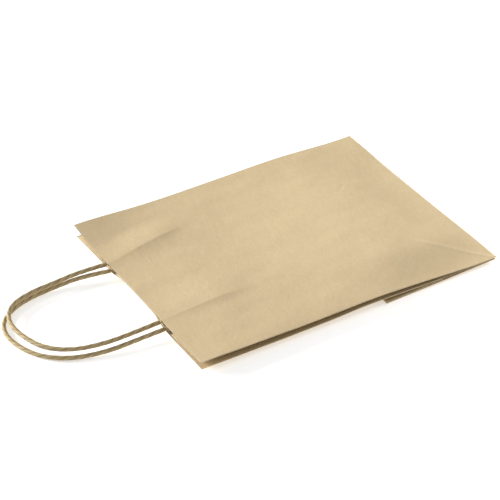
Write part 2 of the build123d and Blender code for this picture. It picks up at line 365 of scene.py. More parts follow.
def back_lift(x, y, sizes):
    """Height of the back panel over its flat place: its mouth edge rises between the handle's legs until
    it nearly meets the front, and sinks at the far corner; both fade inwards."""
    inward = x - MOUTH_X
    near_mouth = 1 - smooth(inward / (sizes.mouth_reach * 1000))
    lift = curve_through(BACK_MOUTH_Y, BACK_MOUTH_LIFT, y) * near_mouth
    swell = smooth((-y - 40.0) / 46.0) * np.exp(-((x - 14.0) / 27.0) ** 2)
    lift = lift + 1.1 * swell * smooth((CREASE[0] - x) / 20)
    ends = smooth((CREASE[0] - x) / 12.0)
    return lift + 0.6 * ends * ripples(x, y, sizes.ripple, 23)


def roof(x, y, sizes):
    """Height of the front panel's inner face."""
    return FRONT_INNER + front_lift(x, y, sizes)


def ground(x, y, sizes):
    """Height of the face that the gussets lie on: the back panel's inner face, carried on level past
    the panel's crease."""
    return BACK_INNER + back_lift(np.minimum(x, CREASE[0]), y, sizes)


def roof_over_leg(x, y, sizes):
    """The lower of the front panel's inner face at rest and the same with its waves flattened, so that
    a leg stays under the panel in both."""
    lift = front_lift(x, y, sizes)
    return FRONT_INNER + np.minimum(lift, FLATTENED * lift)


def ground_under_leg(x, y, sizes):
    """The higher of the back panel's inner face at rest and the same with its waves flattened."""
    lift = back_lift(x, y, sizes)
    return BACK_INNER + np.maximum(lift, FLATTENED * lift)


def turned_edge(along, edge, radius):
    """A sheet that runs flat and turns down round a fold at its edge: past edge - radius it goes on by
    radius * sin(angle) and drops by radius * (1 - cos(angle)), and after a quarter turn straight down."""
    over = np.maximum(along - (edge - radius), 0.0)
    angle = np.minimum(over / radius, np.pi / 2)
    place = np.minimum(along, edge - radius) + radius * np.sin(angle)
    drop = radius * (1 - np.cos(angle)) + np.maximum(over - radius * np.pi / 2, 0.0)
    return place, drop


def turned_sides(across, half, radius):
    """The same turned edge on both sides of the middle."""
    place, drop = turned_edge(np.abs(across), half, radius)
    return np.sign(across) * place, drop


def with_turn(flat, edge, radius, straight):
    """Distances along a sheet, with more points round the turn at its end."""
    turn = edge - radius + radius * np.pi / 2 * np.linspace(0, 1, 6)[1:]
    return np.concatenate([flat, turn, [turn[-1] + straight]])


# ---------------------------------------------------------------- meshes


def shell(face, thickness, edge_wear_and_highlight=None):
    """A closed sheet from a grid of points on one face: the other face is the grid moved back along its
    normals, the cross product of the grid's two directions, and four rims join them."""
    along = np.gradient(face, axis=0)
    across = np.gradient(face, axis=1)
    normal = np.cross(along, across)
    normal /= np.maximum(np.linalg.norm(normal, axis=2, keepdims=True), 1e-9)
    rows, columns = face.shape[:2]
    points = np.concatenate([face.reshape(-1, 3), (face - normal * thickness).reshape(-1, 3)])
    index = np.arange(rows * columns).reshape(rows, columns)
    quads = np.stack([index[:-1, :-1], index[1:, :-1], index[1:, 1:], index[:-1, 1:]], axis=-1)
    quads = quads.reshape(-1, 4)
    under = quads[:, ::-1] + rows * columns
    rim = np.concatenate([index[:, 0], index[-1, 1:], index[-2::-1, -1], index[0, -2:0:-1]])
    following = np.roll(rim, -1)
    other = rows * columns
    walls = np.stack([rim, rim + other, following + other, following], axis=-1)
    faces = np.concatenate([quads, under, walls])
    # The vertex layer holds the mask for pale folds and edges: rubbed paper and painted highlight.
    wear = np.zeros((rows, columns)) if edge_wear_and_highlight is None else edge_wear_and_highlight
    return points, faces, {"wear": np.tile(wear.reshape(-1), 2)}


def merged(*parts):
    """Several meshes as one, with each one's faces counted on from the last."""
    points, faces, layers, count = [], [], {}, 0
    for part_points, part_faces, part_layers in parts:
        points.append(part_points)
        faces.append(part_faces + count)
        count += len(part_points)
        for key, values in part_layers.items():
            layers.setdefault(key, []).append(values)
    return np.concatenate(points), np.concatenate(faces), {k: np.concatenate(v) for k, v in layers.items()}


def mesh_object(name, parts, material, smooth_angle=35.0):
    """An object at the origin whose mesh holds the given points, faces and vertex layers, in metres."""
    points, faces, layers = parts
    mesh = bpy.data.meshes.new(name)
    mesh.vertices.add(len(points))
    mesh.vertices.foreach_set("co", (points * 0.001).astype(np.float32).ravel())
    mesh.loops.add(faces.size)
    mesh.loops.foreach_set("vertex_index", faces.astype(np.int32).ravel())
    mesh.polygons.add(len(faces))
    mesh.polygons.foreach_set("loop_start", np.arange(0, faces.size, faces.shape[1], dtype=np.int32))
    mesh.update(calc_edges=True)
    for key, values in layers.items():
        kind = "FLOAT_VECTOR" if values.ndim == 2 else "FLOAT"
        layer = mesh.attributes.new(key, kind, "POINT")
        layer.data.foreach_set("vector" if values.ndim == 2 else "value", values.astype(np.float32).ravel())
    mesh.polygons.foreach_set("use_smooth", np.ones(len(faces), dtype=bool))
    mesh.set_sharp_from_angle(angle=math.radians(smooth_angle))
    mesh.validate()
    mesh.materials.append(material)
    piece = bpy.data.objects.new(name, mesh)
    bpy.context.scene.collection.objects.link(piece)
    return piece


def paper_piece(name, parts, body, nodes, flatten=None):
    """A paper sheet that rides on a body and stands for CAD nodes. With flatten given it gets a mesh
    of its own; the normal and anchor in it are not used."""
    piece = mesh_object(name, parts, kraft_paper())
    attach(piece, body)
    if nodes:
        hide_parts(*nodes)
    if flatten:
        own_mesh(piece)
    return piece


def paper_across_fold(name, parts, nodes):
    """A paper sheet across a crease, kept where it is and not attached to a body."""
    piece = mesh_object(name, parts, kraft_paper())
    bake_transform(piece)
    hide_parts(*nodes)
    return piece


# ---------------------------------------------------------------- materials


def new_group(name, inputs, outputs):
    """An empty shader node group with named inputs and outputs, and its input and output nodes."""
    group = bpy.data.node_groups.new(name, "ShaderNodeTree")
    for label, kind, value in inputs:
        socket = group.interface.new_socket(name=label, in_out="INPUT", socket_type=kind)
        if value is not None:
            socket.default_value = value
    for label, kind in outputs:
        group.interface.new_socket(name=label, in_out="OUTPUT", socket_type=kind)
    return group, group.nodes.new("NodeGroupInput"), group.nodes.new("NodeGroupOutput")


def math_node(tree, operation, first, second=None, clamp=False):
    """A Math node; each operand is a number or a socket."""
    node = tree.nodes.new("ShaderNodeMath")
    node.operation = operation
    node.use_clamp = clamp
    for socket, value in zip(node.inputs, (first, second)):
        if value is None:
            continue
        if isinstance(value, (int, float)):
            socket.default_value = value
        else:
            tree.links.new(value, socket)
    return node.outputs[0]


def range_node(tree, value, low, high, out_low=0.0, out_high=1.0):
    """A Map Range node, clamped at both ends."""
    node = tree.nodes.new("ShaderNodeMapRange")
    tree.links.new(value, node.inputs["Value"])
    for label, number in (("From Min", low), ("From Max", high), ("To Min", out_low), ("To Max", out_high)):
        if isinstance(number, (int, float)):
            node.inputs[label].default_value = number
        else:
            tree.links.new(number, node.inputs[label])
    return node.outputs["Result"]


def noise_node(tree, vector, scale, detail=3.0, roughness=0.55, stretch=None, turn=0.0):
    """A Noise Texture, with its coordinates stretched and turned by a Mapping node."""
    if stretch:
        mapping = tree.nodes.new("ShaderNodeMapping")
        mapping.inputs["Rotation"].default_value = (0.0, 0.0, turn)
        mapping.inputs["Scale"].default_value = stretch
        tree.links.new(vector, mapping.inputs["Vector"])
        vector = mapping.outputs["Vector"]
    node = tree.nodes.new("ShaderNodeTexNoise")
    tree.links.new(vector, node.inputs["Vector"])
    node.inputs["Scale"].default_value = scale
    node.inputs["Detail"].default_value = detail
    node.inputs["Roughness"].default_value = roughness
    return node.outputs["Fac"]


def mix_colours(tree, share, first, second, blend="MIX"):
    """A colour Mix node; colours are tuples or sockets."""
    node = tree.nodes.new("ShaderNodeMix")
    node.data_type = "RGBA"
    node.blend_type = blend
    if isinstance(share, (int, float)):
        node.inputs[0].default_value = share
    else:
        tree.links.new(share, node.inputs[0])
    for socket, value in ((node.inputs[6], first), (node.inputs[7], second)):
        if isinstance(value, bpy.types.NodeSocket):
            tree.links.new(value, socket)
        else:
            socket.default_value = (*value, 1.0)
    return node.outputs[2]


def paper_fibre_group():
    """Fibres, clouds and specks of kraft paper: three stretched noises turned apart for the fibres, two
    broad noises for the clouds, and rare small cells for the specks."""
    if "Paper Fibres" in bpy.data.node_groups:
        return bpy.data.node_groups["Paper Fibres"]
    group, given, result = new_group(
        "Paper Fibres",
        [("Vector", "NodeSocketVector", None), ("Fibre Contrast", "NodeSocketFloat", 1.0),
         ("Cloud Contrast", "NodeSocketFloat", 1.0), ("Speck Share", "NodeSocketFloat", 0.12)],
        [("Tone", "NodeSocketFloat"), ("Specks", "NodeSocketFloat"), ("Height", "NodeSocketFloat")])
    vector = given.outputs["Vector"]
    fibres = noise_node(group, vector, 950.0, 3.0, 0.6, (1.0, 0.22, 1.0), 0.35)
    for scale, turn in ((820.0, 1.45), (880.0, -0.75)):
        more = noise_node(group, vector, scale, 3.0, 0.6, (1.0, 0.25, 1.0), turn)
        fibres = math_node(group, "MAXIMUM", fibres, more)
    fibres = range_node(group, fibres, 0.42, 0.78)
    clouds = noise_node(group, vector, 150.0, 4.0, 0.6, (1.0, 0.6, 1.0), 0.2)
    broad = noise_node(group, vector, 26.0, 2.0, 0.5)
    clouds = math_node(
        group, "ADD", math_node(group, "MULTIPLY", clouds, 0.6), math_node(group, "MULTIPLY", broad, 0.4))
    clouds = range_node(group, clouds, 0.3, 0.7)
    tone = math_node(
        group, "MULTIPLY", math_node(group, "SUBTRACT", fibres, 0.5), given.outputs["Fibre Contrast"])
    cloud = math_node(
        group, "MULTIPLY", math_node(group, "SUBTRACT", clouds, 0.5), given.outputs["Cloud Contrast"])
    tone = math_node(group, "ADD", math_node(group, "ADD", tone, cloud), 0.5, clamp=True)
    cells = group.nodes.new("ShaderNodeTexVoronoi")
    cells.inputs["Scale"].default_value = 420.0
    group.links.new(vector, cells.inputs["Vector"])
    small = range_node(group, cells.outputs["Distance"], 0.10, 0.24, 1.0, 0.0)
    split = group.nodes.new("ShaderNodeSeparateColor")
    group.links.new(cells.outputs["Color"], split.inputs["Color"])
    rare = math_node(group, "LESS_THAN", split.outputs[0], given.outputs["Speck Share"])
    specks = math_node(group, "MULTIPLY", small, rare)
    cockle = noise_node(group, vector, 230.0, 2.0, 0.5, (1.0, 0.5, 1.0), 0.9)
    height = math_node(
        group, "ADD", math_node(group, "MULTIPLY", fibres, 0.35), math_node(group, "MULTIPLY", cockle, 1.1))
    for label, socket in (("Tone", tone), ("Specks", specks), ("Height", height)):
        group.links.new(socket, result.inputs[label])
    return group


def fold_wear_and_highlight_group():
    """Pale folds and cut edges, partly rubbed paper and partly a painted highlight: the piece's own
    mask layer, broken up by a noise so that the pale line comes and goes."""
    if "Fold Wear" in bpy.data.node_groups:
        return bpy.data.node_groups["Fold Wear"]
    group, given, result = new_group(
        "Fold Wear", [("Vector", "NodeSocketVector", None), ("Amount", "NodeSocketFloat", 0.45)],
        [("Mask", "NodeSocketFloat")])
    layer = group.nodes.new("ShaderNodeAttribute")
    layer.attribute_name = "wear"
    patchy = range_node(group, noise_node(group, given.outputs["Vector"], 320.0, 3.0), 0.3, 0.62, 0.35, 1.0)
    mask = math_node(group, "MULTIPLY", layer.outputs["Fac"], patchy)
    mask = math_node(group, "MULTIPLY", mask, given.outputs["Amount"], clamp=True)
    group.links.new(mask, result.inputs["Mask"])
    return group


def paper_material(name):
    """A new material with its shader, and the shader's tree."""
    material = bpy.data.materials.new(name)
    material.use_nodes = True
    return material, material.node_tree, material.node_tree.nodes["Principled BSDF"]


def kraft_paper():
    """Matt kraft paper: two tones mixed by fibres and clouds, dark specks, pale folds and edges that are
    partly rubbed paper and partly a painted highlight, and a fine bump from the fibres and the paper's
    cockle."""
    if "kraft_paper_sheet" in bpy.data.materials:
        return bpy.data.materials["kraft_paper_sheet"]
    finish = bpy.context.scene.bag_finishes
    material, tree, shader = paper_material("kraft_paper_sheet")
    place = tree.nodes.new("ShaderNodeTexCoord").outputs["Object"]
    fibres = tree.nodes.new("ShaderNodeGroup")
    fibres.node_tree = paper_fibre_group()
    fibres.inputs["Fibre Contrast"].default_value = 0.75
    fibres.inputs["Cloud Contrast"].default_value = 0.35
    fibres.inputs["Speck Share"].default_value = 0.05
    wear = tree.nodes.new("ShaderNodeGroup")
    wear.node_tree = fold_wear_and_highlight_group()
    for node in (fibres, wear):
        tree.links.new(place, node.inputs["Vector"])
    colour = mix_colours(tree, fibres.outputs["Tone"], tuple(finish.kraft_shade), tuple(finish.kraft))
    speck = math_node(tree, "MULTIPLY", fibres.outputs["Specks"], 0.35)
    colour = mix_colours(tree, speck, colour, tuple(finish.fleck))
    # Pale paint on folds, cut edges and the diagonal crease: partly rubbed paper, partly painted highlight.
    colour = mix_colours(tree, wear.outputs["Mask"], colour, tuple(finish.worn_and_highlight))
    tree.links.new(colour, shader.inputs["Base Color"])
    tree.links.new(range_node(tree, fibres.outputs["Tone"], 0.0, 1.0, 0.88, 0.72), shader.inputs["Roughness"])
    bump = tree.nodes.new("ShaderNodeBump")
    bump.inputs["Strength"].default_value = 0.5
    bump.inputs["Distance"].default_value = 0.00022
    tree.links.new(fibres.outputs["Height"], bump.inputs["Height"])
    tree.links.new(bump.outputs["Normal"], shader.inputs["Normal"])
    shader.inputs["Specular IOR Level"].default_value = 0.25
    return material


def twisted_paper():
    """Twisted paper cord: painted shade in the grooves, from the cord's own groove layer, streaks that
    follow its strands, specks, and a fine bump along the twist."""
    if "twisted_paper_cord" in bpy.data.materials:
        return bpy.data.materials["twisted_paper_cord"]
    finish = bpy.context.scene.bag_finishes
    material, tree, shader = paper_material("twisted_paper_cord")
    strand = tree.nodes.new("ShaderNodeAttribute")
    strand.attribute_name = "strand"
    groove = tree.nodes.new("ShaderNodeAttribute")
    groove.attribute_name = "groove"
    fibres = tree.nodes.new("ShaderNodeGroup")
    fibres.node_tree = paper_fibre_group()
    fibres.inputs["Fibre Contrast"].default_value = 0.9
    fibres.inputs["Cloud Contrast"].default_value = 1.0
    fibres.inputs["Speck Share"].default_value = 0.1
    tree.links.new(strand.outputs["Vector"], fibres.inputs["Vector"])
    # The grooves get painted shade; the streaks are the paper's own tone.
    shade = math_node(tree, "MULTIPLY", groove.outputs["Fac"], 0.8)
    streak = math_node(tree, "MULTIPLY", math_node(tree, "SUBTRACT", 1.0, fibres.outputs["Tone"]), 0.55)
    shade = math_node(tree, "ADD", shade, streak, clamp=True)
    colour = mix_colours(tree, shade, tuple(finish.cord), tuple(finish.cord_groove_shade_and_streak))
    speck = math_node(tree, "MULTIPLY", fibres.outputs["Specks"], 0.5)
    colour = mix_colours(tree, speck, colour, tuple(finish.fleck))
    tree.links.new(colour, shader.inputs["Base Color"])
    tree.links.new(range_node(tree, shade, 0.0, 1.0, 0.7, 0.92), shader.inputs["Roughness"])
    bump = tree.nodes.new("ShaderNodeBump")
    bump.inputs["Strength"].default_value = 0.6
    bump.inputs["Distance"].default_value = 0.0001
    tree.links.new(fibres.outputs["Height"], bump.inputs["Height"])
    tree.links.new(bump.outputs["Normal"], shader.inputs["Normal"])
    shader.inputs["Specular IOR Level"].default_value = 0.3
    return material


def table_top():
    """A near-white matt table with the faintest clouding."""
    finish = bpy.context.scene.bag_finishes
    material, tree, shader = paper_material("pale_table")
    place = tree.nodes.new("ShaderNodeTexCoord").outputs["Object"]
    cloud = range_node(tree, noise_node(tree, place, 3.0, 2.0), 0.3, 0.7)
    colour = mix_colours(tree, cloud, tuple(finish.table), tuple(0.99 * c for c in finish.table))
    tree.links.new(colour, shader.inputs["Base Color"])
    shader.inputs["Roughness"].default_value = 0.95
    shader.inputs["Emission Color"].default_value = (1.0, 1.0, 1.0, 1.0)
    shader.inputs["Emission Strength"].default_value = 0.4
    shader.inputs["Specular IOR Level"].default_value = 0.1
    return material


# ---------------------------------------------------------------- cords


def spline_points(name, controls):
    """Points of a NURBS curve of order 3 through the given control points, in millimetres."""
    curve = bpy.data.curves.new(name, "CURVE")
    curve.dimensions = "3D"
    curve.resolution_u = 24
    spline = curve.splines.new("NURBS")
    spline.points.add(len(controls) - 1)
    for point, at in zip(spline.points, controls):
        point.co = (*(c * 0.001 for c in at), 1.0)
    spline.order_u = 3
    spline.use_endpoint_u = True
    holder = bpy.data.objects.new(name, curve)
    bpy.context.scene.collection.objects.link(holder)
    line = bpy.data.meshes.new_from_object(holder.evaluated_get(bpy.context.evaluated_depsgraph_get()))
    points = np.empty(len(line.vertices) * 3)
    line.vertices.foreach_get("co", points)
    bpy.data.objects.remove(holder)
    bpy.data.curves.remove(curve)
    bpy.data.meshes.remove(line)
    return points.reshape(-1, 3) * 1000


def evenly(points, step):
    """The same line with its points a step apart, by distance along it."""
    travelled = np.concatenate([[0.0], np.cumsum(np.linalg.norm(np.diff(points, axis=0), axis=1))])
    at = np.linspace(0.0, travelled[-1], max(int(round(travelled[-1] / step)), 8) + 1)
    return np.stack([np.interp(at, travelled, points[:, k]) for k in range(3)], axis=1), at


def twisted_cord(line, sizes, phase=0.0, sides=36, step=0.45):
    """A paper cord along a line: its radius is the cord's, less a groove where |cos| of one and a half
    times the helix angle is small, with a slow unevenness along it. Each end closes on a cap."""
    path, at = evenly(line, step)
    tangent = np.gradient(path, axis=0)
    tangent /= np.linalg.norm(tangent, axis=1, keepdims=True)
    side = np.cross(tangent, (0.0, 0.0, 1.0))
    side /= np.linalg.norm(side, axis=1, keepdims=True)
    up = np.cross(side, tangent)
    around = np.linspace(0, 2 * np.pi, sides, endpoint=False)[None, :]
    helix = around - 2 * np.pi * at[:, None] / (sizes.cord_pitch * 1000) + phase
    lobe = np.abs(np.cos(1.5 * helix))
    groove = np.exp(-(lobe / 0.28) ** 2)
    uneven = 0.03 * np.sin(at[:, None] / 5.3 + phase) + 0.02 * np.sin(at[:, None] / 1.9 + 2 * helix)
    radius = CORD_RADIUS * (0.985 - sizes.groove * groove + uneven * 0.6 - 0.02)
    end = np.minimum(at, at[-1] - at)[:, None]
    radius = radius * np.sqrt(np.clip(1 - (1 - np.clip(end / 0.7, 0, 1)) ** 2 * 0.6, 0, 1))
    rings = (path[:, None, :] + radius[..., None] * (
        np.cos(around)[..., None] * side[:, None, :] + np.sin(around)[..., None] * up[:, None, :]))
    count = len(path)
    index = np.arange(count * sides).reshape(count, sides)
    after = np.roll(index, -1, axis=1)
    quads = np.stack([index[:-1], after[:-1], after[1:], index[1:]], axis=-1).reshape(-1, 4)
    points = np.concatenate([rings.reshape(-1, 3), path[:1], path[-1:]])
    first, last = count * sides, count * sides + 1
    # A cap is made of four-sided faces, each over two of the ring's sides.
    start_ring, end_ring = index[0], index[-1]
    start_cap = np.stack([np.full(sides // 2, first), np.roll(start_ring, -2)[::2],
                          np.roll(start_ring, -1)[::2], start_ring[::2]], axis=-1)
    end_cap = np.stack([np.full(sides // 2, last), end_ring[::2],
                        np.roll(end_ring, -1)[::2], np.roll(end_ring, -2)[::2]], axis=-1)
    faces = np.concatenate([quads, start_cap, end_cap])[:, ::-1]
    strand = np.stack([
        0.0012 * np.cos(helix), 0.0012 * np.sin(helix),
        np.broadcast_to(at[:, None] * 0.0003, helix.shape)], axis=-1).reshape(-1, 3)
    strand = np.concatenate([strand, strand[:1], strand[-1:]])
    layers = {"groove": np.concatenate([groove.reshape(-1), [0.5, 0.5]]), "strand": strand}
    return (points, faces, layers), path


def front_leg_z(x, y, sizes):
    """Height of a front leg's centre, under the front panel and its liner."""
    return roof_over_leg(x, y, sizes) - PAPER - CORD_RADIUS - 0.02


def back_leg_z(x, y, sizes):
    """Height of a back leg's centre, on the back panel and its liner."""
    return ground_under_leg(x, y, sizes) + PAPER + CORD_RADIUS + 0.02


def handle(name, route, legs_y, leg_height, rest_z, bodies, nodes, phase):
    """A handle: two glued legs that ride on the panel and a free loop between them that bends down
    from the panel to lie just outside the mouth."""
    sizes = bpy.context.scene.bag_sizes
    left, right = legs_y
    exits = [float(leg_height(np.array(LEG_OUT), np.array(y), sizes)) for y in legs_y]
    controls = []
    for past, across, level in route:
        exit_z = exits[0] if across < 0.5 else exits[1]
        controls.append((SWING_X - past, left + across * (right - left), rest_z + level * (exit_z - rest_z)))
    parts, path = twisted_cord(spline_points(name + "_route", controls), sizes, phase)
    loop = mesh_object(name + "_loop", parts, twisted_paper(), 60.0)
    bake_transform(loop)
    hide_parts(nodes[0])
    legs = []
    for turn, y in enumerate(legs_y):
        x = np.linspace(LEG_OUT + 0.6, LEG_IN, 60)
        line = np.stack([x, np.full_like(x, y), leg_height(x, np.full_like(x, y), sizes)], axis=1)
        legs.append(twisted_cord(line, sizes, phase + turn)[0])
    glued = mesh_object(name + "_legs", merged(*legs), twisted_paper(), 60.0)
    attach(glued, bodies[0])
    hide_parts(nodes[1])


# ---------------------------------------------------------------- frames of the folded-under parts


def strip_place(along, y, height):
    """A point of the strip folded under the back panel: along it from its crease, and down from it."""
    return np.stack([
        CREASE[0] - along * math.cos(STRIP_ANGLE) + height * math.sin(STRIP_ANGLE), y,
        CREASE[2] - along * math.sin(STRIP_ANGLE) - height * math.cos(STRIP_ANGLE)], axis=-1)


def block_place(along, y, height):
    """A point of the bottom block, which rises to the bottom edge and curves up a little there."""
    rise = height + 0.28 * smooth((along - HALF_DEPTH) / HALF_DEPTH)
    return np.stack([
        BLOCK[0] + along * math.cos(BLOCK_ANGLE) - rise * math.sin(BLOCK_ANGLE), y,
        BLOCK[2] + along * math.sin(BLOCK_ANGLE) + rise * math.cos(BLOCK_ANGLE)], axis=-1)


def sheet_grid(along, across):
    """Two arrays over a grid of distances along and across."""
    return np.meshgrid(along, across, indexing="ij")


def edge_wear_and_highlight(x, y, x_edges=(), y_edges=(), width=1.0):
    """A mask for the pale paint of rubbed paper and painted highlight: 1 on the given lines, falling to 0
    over a width beside them.
    """
    mask = np.zeros(np.broadcast(x, y).shape)
    for edge in x_edges:
        mask = np.maximum(mask, 1 - smooth(np.abs(x - edge) / width))
    for edge in y_edges:
        mask = np.maximum(mask, 1 - smooth(np.abs(y - edge) / width))
    return mask


# ---------------------------------------------------------------- operators


class BAG_OT_stage(bpy.types.Operator):
    """Make the camera, the pale table and the soft studio light"""

    bl_idname = "bag.stage"
    bl_label = "Stage and camera"

    def execute(self, context):
        finish = context.scene.bag_finishes
        azimuth, elevation, roll = (math.radians(a) for a in CAMERA_ANGLES)
        back = Vector((
            math.sin(azimuth) * math.cos(elevation), -math.cos(azimuth) * math.cos(elevation),
            math.sin(elevation)))
        level = (-back).cross(Vector((0, 0, 1))).normalized()
        upright = level.cross(-back)
        right = level * math.cos(roll) + upright * math.sin(roll)
        up = -level * math.sin(roll) + upright * math.cos(roll)
        camera = bpy.data.objects.new("bag_camera", bpy.data.cameras.new("bag_camera"))
        context.scene.collection.objects.link(camera)
        camera.data.sensor_width = SENSOR_WIDTH
        camera.data.lens = FOCAL_LENGTH * SENSOR_WIDTH / FRAME_WIDTH
        camera.data.clip_start, camera.data.clip_end = 0.01, 50.0
        turned = Matrix((right, up, back)).transposed().to_4x4()
        stand = Vector(CAMERA_TARGET) + back * CAMERA_DISTANCE
        camera.matrix_world = Matrix.Translation(stand) @ turned
        context.scene.camera = camera

        reach = TABLE_REACH
        low = CAD_BOX[0][2]
        floor_mesh = bpy.data.meshes.new("table")
        floor_mesh.from_pydata(
            [(-reach, -reach, low), (reach, -reach, low), (reach, reach, low), (-reach, reach, low)],
            [], [(0, 1, 2, 3)])
        floor = bpy.data.objects.new("table", floor_mesh)
        floor_mesh.materials.append(table_top())
        context.scene.collection.objects.link(floor)

        world = bpy.data.worlds.new("studio")
        context.scene.world = world
        world.use_nodes = True
        background = world.node_tree.nodes["Background"]
        background.inputs["Color"].default_value = (*LIGHT_TINT, 1.0)
        background.inputs["Strength"].default_value = finish.sky_strength

        sun = bpy.data.objects.new("low_light", bpy.data.lights.new("low_light", "SUN"))
        context.scene.collection.objects.link(sun)
        sun.data.energy = finish.sun_strength
        sun.data.angle = math.radians(LOW_LIGHT_ANGLE)
        sun.data.color = LIGHT_TINT
        sun.rotation_euler = Vector(LOW_LIGHT_FROM).to_track_quat("Z", "Y").to_euler()
        fill = bpy.data.objects.new("side_light", bpy.data.lights.new("side_light", "AREA"))
        context.scene.collection.objects.link(fill)
        fill.data.size = SIDE_LIGHT_SIZE
        fill.data.energy = finish.side_power
        place, aim = Vector(SIDE_LIGHT_PLACE), Vector(SIDE_LIGHT_AIM)
        facing = (place - aim).to_track_quat("Z", "Y").to_matrix().to_4x4()
        fill.matrix_world = Matrix.Translation(place) @ facing
        context.scene.view_settings.view_transform = "Standard"
        context.scene.view_settings.look = "None"
        return {"FINISHED"}


class BAG_OT_handles(bpy.types.Operator):
    """Make the two twisted paper handles with their glued legs"""

    bl_idname = "bag.handles"
    bl_label = "Handles"

    def execute(self, context):
        handle(
            "front_handle", FRONT_ROUTE, FRONT_LEG_Y, front_leg_z, FRONT_REST_Z,
            ("front_panel", "front_handle"), ("front_handle_cord", "front_cord_legs"), 0.4)
        handle(
            "back_handle", BACK_ROUTE, BACK_LEG_Y, back_leg_z, BACK_REST_Z,
            ("back_panel", "back_handle"), ("back_handle_cord", "back_cord_legs"), 1.3)
        return {"FINISHED"}


class BAG_OT_panels(bpy.types.Operator):
    """Make the front panel, the back panel and the glued seam inside it"""

    bl_idname = "bag.panels"
    bl_label = "Panels and seam"

    def execute(self, context):
        sizes = context.scene.bag_sizes
        radius = sizes.fold_radius * 1000
        teeth = sizes.serration * 1000
        sides = np.arange(-HALF_WIDTH + 0.5, HALF_WIDTH - 0.4, 0.5)
        turn = with_turn(np.array([]), HALF_WIDTH, radius, TURNED_LIP)
        across = np.concatenate([-turn[::-1], sides, turn])
        tooth = np.where(np.arange(len(across)) % 2 == 0, 1.0, -1.0)[None, :] * teeth / 2

        flat = np.concatenate([
            [MOUTH_X, MOUTH_X + 0.5], np.linspace(MOUTH_X + 1.5, 60.0, 80),
            np.linspace(61.2, BOTTOM_X - 0.8, 36)])
        along = with_turn(flat, BOTTOM_X, BOTTOM_EDGE_RADIUS, TURNED_LIP)
        a, b = sheet_grid(along, across)
        x, end_drop = turned_edge(a, BOTTOM_X, BOTTOM_EDGE_RADIUS)
        y, side_drop = turned_sides(b, HALF_WIDTH, radius)
        z = FRONT_OUTER + front_lift(x, y, sizes) - end_drop - side_drop
        wear = edge_wear_and_highlight(x, y, (MOUTH_X, BOTTOM_X), (-HALF_WIDTH, HALF_WIDTH), 0.9)
        # The diagonal crease is painted pale along its ridge: a painted highlight.
        wear = np.maximum(wear, 0.7 * raised_line(x, y, *DIAGONAL, 1.0, 0.8))
        x = x + np.where(np.arange(len(along)) == 0, 1.0, 0.0)[:, None] * (tooth + teeth / 2)
        # The mouth's far corner stands a little further out, and the bottom edge is slightly askew.
        x = x - 1.3 * smooth((y - 10.0) / 75.0) * (1 - smooth((a - MOUTH_X) / 60.0))
        x = x - 0.9 * y / HALF_WIDTH * smooth((a - 20.0) / 85.0)
        paper_piece(
            "front_panel_sheet", shell(np.stack([x, y, z], axis=-1), PAPER, wear), "front_panel",
            ["front_panel"], flatten=((0, 0, 1), (0, 0, FRONT_OUTER - PAPER / 2)))

        # The back panel's upper face, with its sides turned up towards the gussets.
        flat = np.concatenate([
            [MOUTH_X, MOUTH_X + 0.5], np.linspace(MOUTH_X + 1.5, CREASE[0] - END_GAP, 88)])
        a, b = sheet_grid(flat, across)
        y, side_rise = turned_sides(b, HALF_WIDTH, radius)
        z = BACK_INNER + back_lift(a, y, sizes) + side_rise
        wear = edge_wear_and_highlight(a, y, (MOUTH_X, ), (-HALF_WIDTH, HALF_WIDTH), 0.9)
        x = a + np.where(np.arange(len(flat)) == 0, 1.0, 0.0)[:, None] * (tooth + teeth / 2)
        # Between the legs the mouth edge lies just inside the front panel's.
        between = smooth((y + 34.0) / 10.0) * smooth((30.0 - y) / 10.0)
        x = x + 0.7 * between * (1 - smooth((a - MOUTH_X) / 30.0))
        inner = y * (HALF_WIDTH - PAPER) / HALF_WIDTH
        paper_piece(
            "back_panel_sheet", shell(np.stack([x, inner, z], axis=-1), PAPER, wear), "back_panel",
            ["back_panel"], flatten=((0, 0, 1), (0, 0, BACK_INNER - PAPER / 2)))

        low, high = cad_box("seam_lap")
        x, y = sheet_grid(np.linspace(low[0], high[0], 70), np.linspace(low[1], high[1], 14))
        z = BACK_INNER + back_lift(x, y, sizes) + PAPER + 0.01
        paper_piece(
            "seam_lap_sheet", shell(np.stack([x, y, z], axis=-1), PAPER, edge_wear_and_highlight(x, y, (), (low[1],), 0.6)),
            "back_panel", ["seam_lap"],
            flatten=((0, 0, 1), (0, 0, BACK_INNER + PAPER / 2)))
        return {"FINISHED"}


